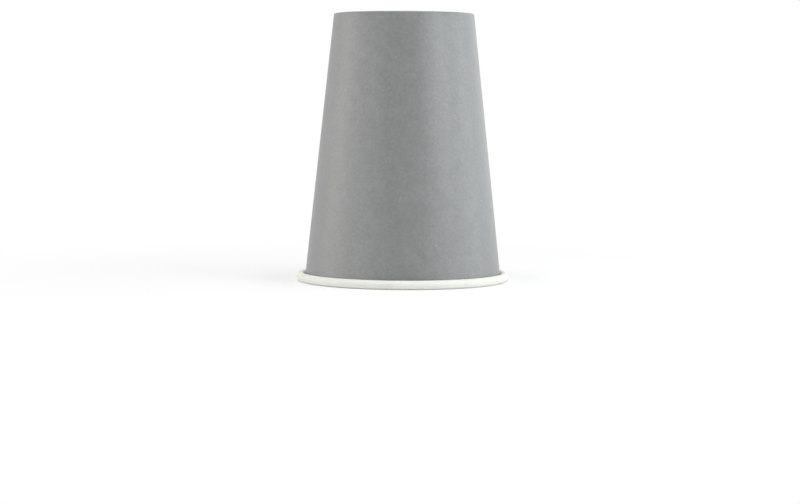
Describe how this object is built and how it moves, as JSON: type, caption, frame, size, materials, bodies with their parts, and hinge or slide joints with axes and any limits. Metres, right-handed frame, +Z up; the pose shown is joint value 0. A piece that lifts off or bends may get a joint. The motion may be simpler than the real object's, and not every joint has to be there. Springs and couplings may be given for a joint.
{
  "type": "disposable paper cup",
  "caption": "Disposable paper drinking cup with a rolled rim, a lapped side seam and a bottom disc set up inside its base, standing mouth down.",
  "frame": {"origin": "centre of the mouth, in the plane that the rolled rim stands on", "axes": "+Z up along the cup's axis towards its base, +Y towards the side seam"},
  "size_m": [0.09, 0.09, 0.113],
  "materials": {
    "printed_board": "grey printed coat outside, matt to satin; white coated board inside and over the rolled rim",
    "white_board": "bare white board, matt, coated on its inner face only"
  },
  "bodies": {
    "root": {"sidewall": "printed_board", "bottom_disc": "white_board"}
  },
  "joints": []
}
